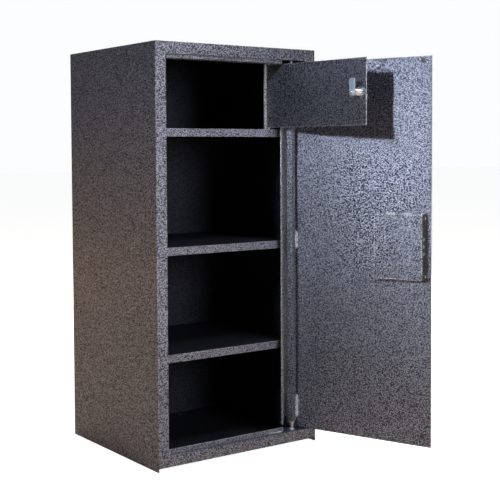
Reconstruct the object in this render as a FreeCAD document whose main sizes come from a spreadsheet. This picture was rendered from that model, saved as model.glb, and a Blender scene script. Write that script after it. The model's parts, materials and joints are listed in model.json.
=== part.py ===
import FreeCAD, Part
import os

import Sketcher

# Steel document safe with a lockable treasury compartment at the top, two shelves and a lever lock.
# Both doors are built in their closed place and then swung open on their pivots, which is the rest pose.
# Working coordinates start at the cabinet's front left bottom corner: X to the right, Y into the depth,
# Z up. Every piece is then shifted so that the origin is the centre of the cabinet's footprint.

SIZES = {
    "body_width": 440, "body_depth": 405, "body_height": 940, "wall_sheet": 2,
    "left_stile_width": 27, "right_stile_width": 26, "header_height": 26, "skirt_height": 8,
    "sill_height": 25.5, "frame_depth": 40, "frame_lip": 16, "wall_hem": 14,
    "stop_setback": 13.5, "stop_thickness": 3, "header_stop_height": 8, "sill_stop_height": 10,
    "left_stop_width": 5.5, "stop_end": 352,
    "anchor_spacing": 146, "anchor_setback": 25, "anchor_radius": 6,
    "shelf_front": 54, "shelf_sheet": 2, "shelf_lip": 18, "shelf_return": 10, "shelf_side_gap": 0.5,
    "shelf_back_gap": 1, "upper_shelf_top": 486, "lower_shelf_top": 244, "treasury_floor_top": 753,
    "cleat_leg": 12, "cleat_sheet": 2, "cleat_front": 66, "cleat_back": 400,
    "treasury_height": 154.5, "post_left": 337.5, "post_width": 6.5, "post_front": 61.5, "post_depth": 4.5,
    "strike_reach": 46, "strike_back": 84, "rail_depth": 20,
    "door_recess": 2, "door_sheet": 3, "door_left": 31, "door_right": 409.5, "door_bottom": 36.5,
    "door_top": 909.5, "pivot_across": 384.5, "pivot_deep": 20.5, "pivot_radius": 3.5,
    "pivot_shoulder_radius": 4.5, "pivot_grip": 32, "running_gap": 0.05,
    "bar_side": 14, "bar_bottom": 53.5, "bar_top": 900, "bush_radius": 7, "bush_height": 6.3,
    "bush_gap": 0.2, "shoulder_gap": 3, "packer_end_length": 54, "packer_middle_length": 40,
    "packer_low": 61, "packer_middle": 469, "packer_high": 838,
    "flange_sheet": 3, "flange_width": 24, "flange_bottom": 42, "flange_top": 904, "flange_leg": 5,
    "pad_radius": 5.5, "pad_thickness": 3, "pad_inset": 20, "pad_low": 59, "pad_high": 900,
    "housing_inset": 12, "housing_width": 118, "housing_bottom": 413, "housing_top": 558.5,
    "housing_depth": 22, "housing_sheet": 1.5, "forend_sheet": 2.5, "forend_overlap": 2.5,
    "bolt_radius": 4.4, "bolt_pitch": 16, "bolt_middle": 488, "bolt_deep": 21, "bolt_length": 30,
    "bolt_throw": 26, "bolt_recess": 0.2, "strike_hole_radius": 6, "screw_radius": 2,
    "screw_head_radius": 3.5, "screw_head_height": 0.4, "screw_length": 12, "screw_deep": 14,
    "screw_low": 421, "screw_high": 551, "hole_gap": 0.1,
    "carriage_length": 82, "carriage_height": 52, "carriage_sheet": 4, "stud_radius": 3,
    "stud_gap": 0.2, "stud_start": 13, "stud_spacing": 36, "case_sheet": 2, "case_gap": 1,
    "stump_length": 11, "stump_across": 126, "stump_up": 468, "lever_sheet": 1.5, "lever_pitch": 2,
    "lever_height": 14, "lever_start": 60, "lever_heel": 7, "lever_setback": 2,
    "key_across": 91, "key_up": 446, "key_shaft_radius": 3.5, "key_shaft_length": 57,
    "key_reach_out": 40, "key_bit_reach": 13, "key_bit_sheet": 2.5, "key_bit_length": 8,
    "key_bit_setback": 1.5, "key_bow_radius": 15, "key_bow_centre": 12, "key_bow_hole_radius": 6,
    "key_collar_radius": 5, "key_collar_length": 4, "key_collar_place": 14, "keyhole_gap": 0.8,
    "plate_sheet": 1.2, "plate_width": 28, "plate_height": 54, "rivet_radius": 1.5,
    "rivet_head": 0.6, "rivet_inset": 5,
    "leaf_sheet": 2.5, "leaf_deep": 57.75, "leaf_left": 42.5, "leaf_bottom": 757, "leaf_top": 905,
    "leaf_pivot_across": 347.5, "leaf_pivot_radius": 2.5, "leaf_hinge_edge": 4, "leaf_pin_length": 10,
    "cam_lock_inset": 18.5, "cam_lock_up": 829, "barrel_radius": 8, "barrel_length": 24.5,
    "barrel_flange_radius": 10, "barrel_flange_sheet": 2, "plug_radius": 5.5, "nut_radius": 12.7,
    "nut_height": 4, "cam_width": 16, "cam_reach": 30, "cam_tail": 9, "cam_sheet": 2.25,
    "cam_gap": 2.25, "cam_chamfer": 3, "cam_screw_length": 6, "cam_screw_head_radius": 4.5,
    "cam_screw_head_height": 2.6, "blade_sheet": 2, "blade_height": 7.4, "blade_setback": 8,
    "keyway_gap": 0.1, "bow_radius": 10, "bow_sheet": 4,
    "bow_centre": 14.5, "bow_hole_radius": 3, "bow_wall": 1, "ring_radius": 8.9, "ring_wire_radius": 0.6,
    "ring_gap": 0.55, "main_door_open": 110.5, "treasury_door_open": 97.5,
}

LEVERS = 4
SMALLEST_CUT = 1e-6

document = FreeCAD.newDocument("document_safe")
sheet = document.addObject("Spreadsheet::Sheet", "Sizes")
for row, (alias, number) in enumerate(SIZES.items(), start=1):
    sheet.set(f"A{row}", alias)
    sheet.set(f"B{row}", str(number))
    sheet.setAlias(f"B{row}", alias)
document.recompute()


class Size:
    """A length that carries both its number and the spreadsheet formula that gives it."""

    def __init__(self, value, formula):
        self.value = float(value)
        self.formula = formula

    def joined(self, sign, other, value):
        return Size(value, f"({self.formula} {sign} {as_size(other).formula})")

    def __add__(self, other):
        return self.joined("+", other, self.value + as_size(other).value)

    def __sub__(self, other):
        return self.joined("-", other, self.value - as_size(other).value)

    def __mul__(self, other):
        return self.joined("*", other, self.value * as_size(other).value)

    def __truediv__(self, other):
        return self.joined("/", other, self.value / as_size(other).value)

    def __rsub__(self, other):
        return as_size(other) - self

    def __radd__(self, other):
        return as_size(other) + self


def as_size(number):
    return number if isinstance(number, Size) else Size(number, repr(float(number)))


def size(alias):
    return Size(sheet.get(alias), f"Sizes.{alias}")


def vector(across, deep, up):
    return FreeCAD.Vector(as_size(across).value, as_size(deep).value, as_size(up).value)


UP = FreeCAD.Vector(0, 0, 1)
TURN_TO = {
    "X": FreeCAD.Rotation(FreeCAD.Vector(0, 1, 0), 90),
    "Y": FreeCAD.Rotation(FreeCAD.Vector(1, 0, 0), -90),
    "Z": FreeCAD.Rotation(),
}
CENTRED = FreeCAD.Placement(vector(size("body_width") / -2, size("body_depth") / -2, 0), TURN_TO["Z"])


def swung(across, deep, degrees):
    """Placement that turns a piece about an upright pivot and moves it into the centred frame."""
    pivot = CENTRED.multVec(vector(across, deep, 0))
    turn = FreeCAD.Placement(FreeCAD.Vector(), FreeCAD.Rotation(UP, degrees.value), pivot)
    return turn.multiply(CENTRED)


CABINET = CENTRED
MAIN_DOOR = swung(size("pivot_across"), size("pivot_deep"), size("main_door_open"))
TREASURY_DOOR = swung(
    size("leaf_pivot_across"), size("leaf_deep") + size("leaf_sheet") / 2, size("treasury_door_open")
)

pieces = {}


def keep(feature, label, place):
    """Register a finished sub-part under its label and put it in its place."""
    feature.Label = label
    feature.Placement = place.multiply(feature.Placement)
    pieces[label] = feature
    return feature


def bind(feature, prop, length):
    setattr(feature, prop, as_size(length).value)
    feature.setExpression(prop, as_size(length).formula)


# --- Part primitives -------------------------------------------------------------------------

def box(low, high):
    """Box between two corners, each given as (across, deep, up)."""
    feature = document.addObject("Part::Box", "box")
    for prop, start, end in zip(("Length", "Width", "Height"), low, high):
        bind(feature, prop, as_size(end) - start)
    feature.Placement = FreeCAD.Placement(vector(*low), TURN_TO["Z"])
    return feature


def rod(start, axis, radius, length):
    """Round bar from a point along the X, Y or Z axis."""
    feature = document.addObject("Part::Cylinder", "rod")
    bind(feature, "Radius", radius)
    bind(feature, "Height", length)
    feature.Placement = FreeCAD.Placement(vector(*start), TURN_TO[axis])
    return feature


def joined(features):
    feature = document.addObject("Part::MultiFuse", "joined")
    feature.Shapes = features
    return feature


def without(base, *tools):
    """Base with every tool cut away."""
    for tool in tools:
        feature = document.addObject("Part::Cut", "without")
        feature.Base = base
        feature.Tool = tool
        base = feature
    return base


# --- sheet metal profiles --------------------------------------------------------------------

def profile_sketch(body, role, start, outlines, holes):
    """Sketch on one of the body's own planes, start mm along that plane's normal.

    Each outline is a closed run of (across, up) corners, and each hole is (across, up, radius).
    """
    plane = [feature for feature in body.Origin.OriginFeatures if feature.Role == role][0]
    sketch = body.newObject("Sketcher::SketchObject", "sketch")
    sketch.AttachmentSupport = [(plane, "")]
    sketch.MapMode = "FlatFace"
    sketch.AttachmentOffset = FreeCAD.Placement(vector(0, 0, start), TURN_TO["Z"])
    sketch.setExpression("AttachmentOffset.Base.z", as_size(start).formula)
    for corners in outlines:
        add_corners(sketch, corners)
    for across, up, radius in holes:
        add_hole(sketch, across, up, radius)
    return sketch


def pin_point(sketch, curve, point, across, up):
    """Hold one point of a curve at its two distances from the sketch's origin."""
    for kind, axis, distance in (("DistanceX", -2, as_size(across)), ("DistanceY", -1, as_size(up))):
        if distance.value == 0:
            sketch.addConstraint(Sketcher.Constraint("PointOnObject", curve, point, axis))
            continue
        constraint = Sketcher.Constraint(kind, -1, 1, curve, point, distance.value)
        index = sketch.addConstraint(constraint)
        sketch.setExpression(f"Constraints[{index}]", distance.formula)


def add_corners(sketch, corners):
    first = sketch.GeometryCount
    points = [vector(across, up, 0) for across, up in corners]
    for start, end in zip(points, points[1:] + points[:1]):
        sketch.addGeometry(Part.LineSegment(start, end), False)
    for step, (across, up) in enumerate(corners):
        following = first + (step + 1) % len(corners)
        sketch.addConstraint(Sketcher.Constraint("Coincident", first + step, 2, following, 1))
        pin_point(sketch, first + step, 1, across, up)


def add_hole(sketch, across, up, radius):
    curve = sketch.addGeometry(Part.Circle(vector(across, up, 0), UP, as_size(radius).value), False)
    pin_point(sketch, curve, 3, across, up)
    index = sketch.addConstraint(Sketcher.Constraint("Radius", curve, as_size(radius).value))
    sketch.setExpression(f"Constraints[{index}]", as_size(radius).formula)


def profiled(role, start, length, outline, windows=(), holes=()):
    """Body padded from one sketch along the normal of its plane."""
    body = document.addObject("PartDesign::Body", "body")
    sketch = profile_sketch(body, role, start, [outline, *windows], holes)
    pad = body.newObject("PartDesign::Pad", "pad")
    pad.Profile = sketch
    bind(pad, "Length", length)
    body.Tip = pad
    return body


def pocketed(body, role, start, depth, outlines=(), holes=()):
    """Cut a pocket that starts on a plane and runs against its normal; it has to remove material."""
    document.recompute()
    before = body.Shape.Volume
    sketch = profile_sketch(body, role, start, outlines, holes)
    pocket = body.newObject("PartDesign::Pocket", "pocket")
    pocket.Profile = sketch
    bind(pocket, "Length", depth)
    body.Tip = pocket
    document.recompute()
    if body.Shape.Volume > before - SMALLEST_CUT:
        raise RuntimeError(f"a pocket in {body.Name} cuts nothing")
    return body


def along_z(start, end, outline, windows=(), holes=()):
    """Profile in plan, as (across, deep) corners, extruded upward."""
    return profiled("XY_Plane", start, as_size(end) - start, outline, windows, holes)


def along_x(start, end, outline, windows=(), holes=()):
    """Profile seen from the side, as (deep, up) corners, extruded to the right."""
    return profiled("YZ_Plane", start, as_size(end) - start, outline, windows, holes)


def along_y(start, end, outline, windows=(), holes=()):
    """Profile seen from the front, as (across, up) corners, between two depths."""
    return profiled("XZ_Plane", 0 - as_size(end), as_size(end) - start, outline, windows, holes)


def rectangle(low, high):
    return [(low[0], low[1]), (high[0], low[1]), (high[0], high[1]), (low[0], high[1])]


# --- cabinet shell ---------------------------------------------------------------------------

width = size("body_width")
depth = size("body_depth")
height = size("body_height")
wall = size("wall_sheet")
skirt = size("skirt_height")
left_edge = size("left_stile_width")
right_edge = width - size("right_stile_width")
frame_depth = size("frame_depth")
header_bottom = height - size("header_height")
sill_top = skirt + size("sill_height")
cut_through = wall * 3


def make_shell():
    """Wrap-round side and back walls, top, floor and the flanges round the front opening."""
    wrap = [
        (0, 0), (0, depth), (width, depth), (width, 0), (width - wall, 0),
        (width - wall, depth - wall), (wall, depth - wall), (wall, 0),
    ]
    keep(along_z(0, height, wrap), "body_wrap", CABINET)
    keep(box((wall, wall, height - wall), (width - wall, depth - wall, height)), "top_panel", CABINET)
    anchors_deep = depth - size("anchor_setback")
    anchors = [
        (width / 2 + size("anchor_spacing") * half, anchors_deep, size("anchor_radius"))
        for half in (-0.5, 0.5)
    ]
    floor_outline = rectangle((wall, wall), (width - wall, depth - wall))
    keep(along_z(skirt, skirt + wall, floor_outline, holes=anchors), "floor_panel", CABINET)


def clear_panels(stile, start, reach):
    """Shorten a stile's folded return at both ends, where the floor and top panels pass it."""
    for bottom in (skirt, height - wall):
        outline = rectangle((wall, bottom), (reach + wall, bottom + wall))
        pocketed(stile, "YZ_Plane", start, cut_through, outlines=[outline])


def make_front_frame():
    lip = size("frame_lip")
    hem = size("wall_hem")
    left_profile = [
        (wall, 0), (left_edge, 0), (left_edge, frame_depth), (left_edge - wall, frame_depth),
        (left_edge - wall, wall), (wall, wall),
    ]
    stile = along_z(skirt, height, left_profile)
    pitch = size("bolt_pitch")
    strike_holes = [
        (size("bolt_deep"), size("bolt_middle") + pitch * step, size("strike_hole_radius"))
        for step in (-1, 0, 1)
    ]
    pocketed(stile, "YZ_Plane", left_edge + wall, cut_through, holes=strike_holes)
    clear_panels(stile, left_edge + wall, frame_depth)
    keep(stile, "left_stile", CABINET)
    right_profile = [
        (right_edge, 0), (width - wall, 0), (width - wall, hem), (width - wall * 2, hem),
        (width - wall * 2, wall), (right_edge, wall),
    ]
    stile = along_z(skirt, height, right_profile)
    clear_panels(stile, width, hem)
    keep(stile, "right_stile", CABINET)
    header_profile = [
        (0, header_bottom), (frame_depth, header_bottom), (frame_depth, header_bottom + lip),
        (frame_depth - wall, header_bottom + lip), (frame_depth - wall, header_bottom + wall),
        (wall, header_bottom + wall), (wall, height), (0, height),
    ]
    keep(along_x(left_edge, right_edge, header_profile), "header", CABINET)
    sill_profile = [
        (0, skirt), (wall, skirt), (wall, sill_top - wall), (frame_depth - wall, sill_top - wall),
        (frame_depth - wall, skirt + wall), (frame_depth, skirt + wall), (frame_depth, sill_top),
        (0, sill_top),
    ]
    keep(along_x(left_edge, right_edge, sill_profile), "sill", CABINET)


def make_door_stops():
    near = size("stop_setback")
    far = near + size("stop_thickness")
    end = size("stop_end")
    header_stop_bottom = header_bottom - size("header_stop_height")
    sill_stop_top = sill_top + size("sill_stop_height")
    keep(box((left_edge, near, header_stop_bottom), (end, far, header_bottom)), "header_stop", CABINET)
    keep(box((left_edge, near, sill_top), (end, far, sill_stop_top)), "sill_stop", CABINET)
    reach = left_edge + size("left_stop_width")
    keep(box((left_edge, near, sill_stop_top), (reach, far, header_stop_bottom)), "left_stop", CABINET)


def make_main_pivots():
    """Pins welded to the sill and header, and the bush that carries the door."""
    across = size("pivot_across")
    deep = size("pivot_deep")
    radius = size("pivot_radius")
    shoulder = size("pivot_shoulder_radius")
    bush = size("bush_height")
    bush_bottom = size("bar_bottom") - bush - size("bush_gap")
    grip = size("pivot_grip")
    low_pin = joined([
        rod((across, deep, sill_top), "Z", shoulder, bush_bottom - sill_top),
        rod((across, deep, bush_bottom), "Z", radius, grip),
    ])
    keep(low_pin, "lower_pivot_pin", CABINET)
    shoulder_bottom = size("bar_top") + size("shoulder_gap")
    high_pin = joined([
        rod((across, deep, shoulder_bottom), "Z", shoulder, header_bottom - shoulder_bottom),
        rod((across, deep, shoulder_bottom - grip), "Z", radius, grip),
    ])
    keep(high_pin, "upper_pivot_pin", CABINET)
    bush_ring = without(
        rod((across, deep, bush_bottom), "Z", size("bush_radius"), bush),
        rod((across, deep, bush_bottom), "Z", radius + size("running_gap"), bush),
    )
    keep(bush_ring, "lower_thrust_bush", CABINET)


# --- shelves and treasury compartment --------------------------------------------------------

shelf_front = size("shelf_front")
shelf_sheet = size("shelf_sheet")
side_gap = wall + size("shelf_side_gap")
treasury_floor = size("treasury_floor_top")
treasury_ceiling = treasury_floor + size("treasury_height")
leaf_pivot_deep = size("leaf_deep") + size("leaf_sheet") / 2


def make_shelf(label, top):
    """Sheet shelf with a lip folded down along its front edge."""
    bottom = top - size("shelf_lip")
    back = depth - wall - size("shelf_back_gap")
    inner = shelf_front + size("shelf_return")
    profile = [
        (shelf_front, top), (shelf_front, bottom), (inner, bottom), (inner, bottom + shelf_sheet),
        (shelf_front + shelf_sheet, bottom + shelf_sheet), (shelf_front + shelf_sheet, top - shelf_sheet),
        (back, top - shelf_sheet), (back, top),
    ]
    return keep(along_x(side_gap, width - side_gap, profile), label, CABINET)


def make_cleats(label, top):
    """Two angle strips that carry a shelf along the side walls."""
    leg = size("cleat_leg")
    strip = size("cleat_sheet")
    angle = [(0, -1), (strip, -1), (strip, 0), (leg, 0), (leg, 1), (0, 1)]
    heights = {-1: top - leg, 0: top - strip, 1: top}
    for side, mirrored in (("left", False), ("right", True)):
        corners = []
        for out, level in angle:
            inward = wall + out
            corners.append((width - inward if mirrored else inward, heights[level]))
        strip_body = along_y(size("cleat_front"), size("cleat_back"), corners)
        keep(strip_body, f"{label}_cleat_{side}", CABINET)


def make_treasury():
    hinge_hole = (
        size("leaf_pivot_across"), leaf_pivot_deep, size("leaf_pivot_radius") + size("running_gap")
    )
    floor_piece = make_shelf("treasury_floor", treasury_floor)
    pocketed(floor_piece, "XY_Plane", treasury_floor + wall, cut_through, holes=[hinge_hole])
    post_left = size("post_left")
    post_right = post_left + size("post_width")
    post_front = size("post_front")
    post_back = post_front + size("post_depth")
    post = box((post_left, post_front, treasury_floor), (post_right, post_back, treasury_ceiling))
    keep(post, "treasury_hinge_post", CABINET)
    closing = box(
        (post_right, post_back - wall, treasury_floor), (width - side_gap, post_back, treasury_ceiling)
    )
    keep(closing, "treasury_closing_plate", CABINET)
    reach = size("strike_reach")
    strike_back = size("strike_back")
    strike_profile = [
        (wall, post_front), (reach, post_front), (reach, strike_back), (reach - wall, strike_back),
        (reach - wall, post_front + wall), (wall, post_front + wall),
    ]
    keep(along_z(treasury_floor, treasury_ceiling, strike_profile), "treasury_strike", CABINET)
    rail_back = shelf_front + size("rail_depth")
    rail_profile = [
        (shelf_front, treasury_ceiling), (rail_back, treasury_ceiling), (rail_back, height - wall),
        (rail_back - wall, height - wall), (rail_back - wall, treasury_ceiling + wall),
        (shelf_front, treasury_ceiling + wall),
    ]
    rail = along_x(side_gap, width - side_gap, rail_profile)
    pocketed(rail, "XY_Plane", treasury_ceiling + wall * 2, cut_through, holes=[hinge_hole])
    keep(rail, "treasury_top_rail", CABINET)


# --- main door -------------------------------------------------------------------------------

door_front = size("door_recess")
door_back = door_front + size("door_sheet")
door_left = size("door_left")
door_right = size("door_right")
key_across = size("key_across")
key_up = size("key_up")
shaft_radius = size("key_shaft_radius")


def keyhole(front, back):
    """Round and slotted tool that lets the key's shaft and both bits through a plate."""
    clear = size("keyhole_gap")
    half_slot = size("key_bit_sheet") / 2 + clear
    reach = size("key_bit_reach") + clear
    slot = box(
        (key_across - half_slot, front, key_up - reach), (key_across + half_slot, back, key_up + reach)
    )
    return joined([rod((key_across, front, key_up), "Y", shaft_radius + clear, as_size(back) - front), slot])


def make_door_leaf():
    blank = box((door_left, door_front, size("door_bottom")), (door_right, door_back, size("door_top")))
    keep(without(blank, keyhole(door_front, door_back)), "main_door_leaf", MAIN_DOOR)
    inset = door_left + size("pad_inset")
    pads = [
        rod((inset, door_back, level), "Y", size("pad_radius"), size("pad_thickness"))
        for level in (size("pad_low"), size("pad_high"))
    ]
    keep(joined(pads), "stop_pads", MAIN_DOOR)


def make_door_hinge_side():
    """Square hinge bar on its packers, and the flange that stands along the hinge edge."""
    half = size("bar_side") / 2
    across = size("pivot_across")
    deep = size("pivot_deep")
    low = size("bar_bottom")
    high = size("bar_top")
    bore = size("pivot_radius") + size("running_gap")
    bore_depth = size("pivot_grip")
    bar = without(
        box((across - half, deep - half, low), (across + half, deep + half, high)),
        rod((across, deep, low), "Z", bore, bore_depth),
        rod((across, deep, high - bore_depth), "Z", bore, bore_depth),
    )
    keep(bar, "hinge_bar", MAIN_DOOR)
    for name in ("low", "middle", "high"):
        bottom = size(f"packer_{name}")
        top = bottom + size("packer_middle_length" if name == "middle" else "packer_end_length")
        packer = box((across - half, door_back, bottom), (across + half, deep - half, top))
        keep(packer, f"hinge_bar_packer_{name}", MAIN_DOOR)
    tip = door_back + size("flange_width")
    leg_start = tip - size("flange_leg")
    notch = (leg_start - door_back) / 2
    low_end = size("flange_bottom")
    high_end = size("flange_top")
    outline = [
        (door_back, low_end + notch), (leg_start, low_end + notch), (leg_start, low_end), (tip, low_end),
        (tip, high_end), (leg_start, high_end), (leg_start, high_end - notch), (door_back, high_end - notch),
    ]
    flange = along_x(door_right - size("flange_sheet"), door_right, outline)
    rounds = [(door_back + notch, level, notch) for level in (low_end + notch, high_end - notch)]
    pocketed(flange, "YZ_Plane", door_right + wall, cut_through, holes=rounds)
    keep(flange, "hinge_side_flange", MAIN_DOOR)


# --- lever lock of the main door -------------------------------------------------------------

bolt_levels = {
    "lower": size("bolt_middle") - size("bolt_pitch"),
    "middle": size("bolt_middle"),
    "upper": size("bolt_middle") + size("bolt_pitch"),
}
housing_left = door_left + size("housing_inset")
housing_right = housing_left + size("housing_width")
housing_bottom = size("housing_bottom")
housing_top = size("housing_top")
bolt_deep = size("bolt_deep")
forend_left = housing_left - size("forend_sheet")
bolt_start = forend_left + size("bolt_recess")
carriage_left = bolt_start + size("bolt_length")
case_back = door_back + size("case_sheet")
stud_places = [carriage_left + size("stud_start") + size("stud_spacing") * step for step in range(2)]


def make_lock_housing():
    skin = size("housing_sheet")
    back = door_back + size("housing_depth")
    shell = without(
        box((housing_left, door_back, housing_bottom), (housing_right, back, housing_top)),
        box((housing_left, door_back, housing_bottom + skin),
            (housing_right - skin, back - skin, housing_top - skin)),
    )
    keep(shell, "lock_housing", MAIN_DOOR)
    over = size("forend_overlap")
    gap = size("hole_gap")
    screw_deep = size("screw_deep")
    screw_levels = (size("screw_low"), size("screw_high"))
    holes = [(bolt_deep, level, size("bolt_radius") + gap) for level in bolt_levels.values()]
    holes += [(screw_deep, level, size("screw_radius") + gap) for level in screw_levels]
    outline = rectangle((door_back, housing_bottom - over), (back, housing_top + over))
    keep(along_x(forend_left, housing_left, outline, holes=holes), "lock_forend", MAIN_DOOR)
    screws = []
    head = size("screw_head_height")
    for level in screw_levels:
        head_start = forend_left - head
        screws.append(rod((head_start, screw_deep, level), "X", size("screw_head_radius"), head))
        screws.append(rod((forend_left, screw_deep, level), "X", size("screw_radius"), size("screw_length")))
    keep(joined(screws), "forend_screws", MAIN_DOOR)


def make_lock_case():
    """Base plate with the keyhole, the two studs that guide the carriage and the lever stump."""
    margin = size("housing_sheet") + size("case_gap")
    plate = without(
        box((housing_left, door_back, housing_bottom + margin),
            (housing_right - margin, case_back, housing_top - margin)),
        keyhole(door_back, case_back),
    )
    keep(plate, "lock_case_plate", MAIN_DOOR)
    stud_length = size("housing_depth") - size("case_sheet") - margin
    studs = [
        rod((across, case_back, size("bolt_middle")), "Y", size("stud_radius"), stud_length)
        for across in stud_places
    ]
    keep(joined(studs), "carriage_guide_studs", MAIN_DOOR)
    stump_start = (size("stump_across"), case_back, size("stump_up"))
    keep(rod(stump_start, "Y", size("stud_radius"), size("stump_length")), "lever_stump", MAIN_DOOR)


def make_bolt_works():
    """Three round bolts on a sliding carriage, slotted over the guide studs."""
    for name, level in bolt_levels.items():
        bolt = rod((bolt_start, bolt_deep, level), "X", size("bolt_radius"), size("bolt_length"))
        keep(bolt, f"lock_bolt_{name}", MAIN_DOOR)
    half_sheet = size("carriage_sheet") / 2
    half_height = size("carriage_height") / 2
    middle = size("bolt_middle")
    clear = size("stud_radius") + size("stud_gap")
    slots = [
        rectangle((across - clear, middle - clear), (across + clear + size("bolt_throw"), middle + clear))
        for across in stud_places
    ]
    outline = rectangle(
        (carriage_left, middle - half_height), (carriage_left + size("carriage_length"), middle + half_height)
    )
    carriage = along_y(bolt_deep - half_sheet, bolt_deep + half_sheet, outline, windows=slots)
    keep(carriage, "bolt_carriage", MAIN_DOOR)


def make_levers():
    """Thin levers stacked on the stump, their bellies just above the key's sweep."""
    across = size("stump_across")
    up = size("stump_up")
    half = size("lever_height") / 2
    first = case_back + size("lever_setback")
    levers = []
    for count in range(LEVERS):
        front = first + size("lever_pitch") * count
        back = front + size("lever_sheet")
        heel = across + size("lever_heel")
        blank = box((size("lever_start"), front, up - half), (heel, back, up + half))
        bore = rod((across, front, up), "Y", size("stud_radius") + size("running_gap"), size("lever_sheet"))
        levers.append(without(blank, bore))
    keep(joined(levers), "lever_pack", MAIN_DOOR)


def make_escutcheon_and_key():
    plate = size("plate_sheet")
    front = door_front - plate
    half_width = size("plate_width") / 2
    half_height = size("plate_height") / 2
    cover = without(
        box((key_across - half_width, front, key_up - half_height),
            (key_across + half_width, door_front, key_up + half_height)),
        keyhole(front, door_front),
    )
    keep(cover, "keyhole_escutcheon", MAIN_DOOR)
    head = size("rivet_head")
    rivets = [
        rod((key_across, front - head, key_up + (half_height - size("rivet_inset")) * side), "Y",
            size("rivet_radius"), head)
        for side in (-1, 1)
    ]
    keep(joined(rivets), "escutcheon_rivets", MAIN_DOOR)
    half_bit = size("key_bit_sheet") / 2
    reach = size("key_bit_reach")
    shaft_start = door_front - size("key_reach_out")
    bow_middle = shaft_start - size("key_bow_centre")
    bit_start = case_back + size("key_bit_setback")
    shaft = rod((key_across, shaft_start, key_up), "Y", shaft_radius, size("key_shaft_length"))
    bits = box(
        (key_across - half_bit, bit_start, key_up - reach),
        (key_across + half_bit, bit_start + size("key_bit_length"), key_up + reach),
    )
    disc_start = (key_across - half_bit, bow_middle, key_up)
    disc = rod(disc_start, "X", size("key_bow_radius"), half_bit * 2)
    eye = rod(disc_start, "X", size("key_bow_hole_radius"), half_bit * 2)
    collar_start = (key_across, door_front - size("key_collar_place"), key_up)
    collar = rod(collar_start, "Y", size("key_collar_radius"), size("key_collar_length"))
    keep(joined([without(joined([shaft, disc]), eye), bits, collar]), "main_key", MAIN_DOOR)


# --- treasury door and its cam lock ----------------------------------------------------------

leaf_front = size("leaf_deep")
leaf_back = leaf_front + size("leaf_sheet")
lock_across = size("leaf_left") + size("cam_lock_inset")
lock_up = size("cam_lock_up")
plug_radius = size("plug_radius")
barrel_front = leaf_front - size("barrel_flange_sheet")
barrel_back = leaf_front + size("barrel_length")
cam_front = barrel_back + size("cam_gap")
cam_back = cam_front + size("cam_sheet")
bow_deep = leaf_front - size("bow_centre")
blade_start = bow_deep + size("bow_hole_radius") + size("bow_wall")
blade_end = barrel_back - size("blade_setback")


def make_treasury_leaf():
    across = size("leaf_pivot_across")
    low = size("leaf_bottom")
    high = size("leaf_top")
    outline = rectangle((size("leaf_left"), low), (across + size("leaf_hinge_edge"), high))
    hole = (lock_across, lock_up, size("barrel_radius") + size("hole_gap"))
    keep(along_y(leaf_front, leaf_back, outline, holes=[hole]), "treasury_door_leaf", TREASURY_DOOR)
    length = size("leaf_pin_length")
    radius = size("leaf_pivot_radius")
    pins = [
        rod((across, leaf_pivot_deep, low - length), "Z", radius, length),
        rod((across, leaf_pivot_deep, high), "Z", radius, length),
    ]
    keep(joined(pins), "treasury_door_pins", TREASURY_DOOR)


def make_cam_lock():
    radius = size("barrel_radius")
    start = (lock_across, barrel_front, lock_up)
    length = barrel_back - barrel_front
    flange = rod(start, "Y", size("barrel_flange_radius"), size("barrel_flange_sheet"))
    barrel = without(
        joined([flange, rod(start, "Y", radius, length)]),
        rod(start, "Y", plug_radius + size("running_gap"), length),
    )
    keep(barrel, "cam_lock_barrel", TREASURY_DOOR)
    nut = document.addObject("Part::Prism", "nut")
    nut.Polygon = 6
    bind(nut, "Circumradius", size("nut_radius"))
    bind(nut, "Height", size("nut_height"))
    nut.Placement = FreeCAD.Placement(vector(lock_across, leaf_back, lock_up), TURN_TO["Y"])
    thread = rod((lock_across, leaf_back, lock_up), "Y", radius + size("hole_gap"), size("nut_height"))
    keep(without(nut, thread), "cam_lock_nut", TREASURY_DOOR)


def make_cam_and_plug():
    half_blade = size("blade_sheet") / 2
    half_height = size("blade_height") / 2
    gap = size("keyway_gap")
    keyway = box(
        (lock_across - half_blade - gap, barrel_front, lock_up - half_height - gap),
        (lock_across + half_blade + gap, blade_end + gap, lock_up + half_height + gap),
    )
    screw_start = (lock_across, cam_front - size("cam_screw_length"), lock_up)
    plug = without(
        rod((lock_across, barrel_front, lock_up), "Y", plug_radius, cam_front - barrel_front),
        keyway,
        rod(screw_start, "Y", size("screw_radius"), size("cam_screw_length")),
    )
    keep(plug, "cam_lock_plug", TREASURY_DOOR)
    half_cam = size("cam_width") / 2
    tail = lock_up - size("cam_tail")
    tip = lock_up + size("cam_reach")
    chamfer = size("cam_chamfer")
    cam_outline = [
        (lock_across - half_cam + chamfer, tail), (lock_across + half_cam - chamfer, tail),
        (lock_across + half_cam, tail + chamfer), (lock_across + half_cam, tip - chamfer),
        (lock_across + half_cam - chamfer, tip), (lock_across - half_cam + chamfer, tip),
        (lock_across - half_cam, tip - chamfer), (lock_across - half_cam, tail + chamfer),
    ]
    cam_hole = (lock_across, lock_up, size("screw_radius"))
    keep(along_y(cam_front, cam_back, cam_outline, holes=[cam_hole]), "locking_cam", TREASURY_DOOR)
    head_start = (lock_across, cam_back, lock_up)
    screw = joined([
        rod(head_start, "Y", size("cam_screw_head_radius"), size("cam_screw_head_height")),
        rod(screw_start, "Y", size("screw_radius"), size("cam_screw_length") + size("cam_sheet")),
    ])
    keep(screw, "cam_screw", TREASURY_DOOR)
    blade = box(
        (lock_across - half_blade, blade_start, lock_up - half_height),
        (lock_across + half_blade, blade_end, lock_up + half_height),
    )
    keep(blade, "treasury_key_blade", TREASURY_DOOR)


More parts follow.
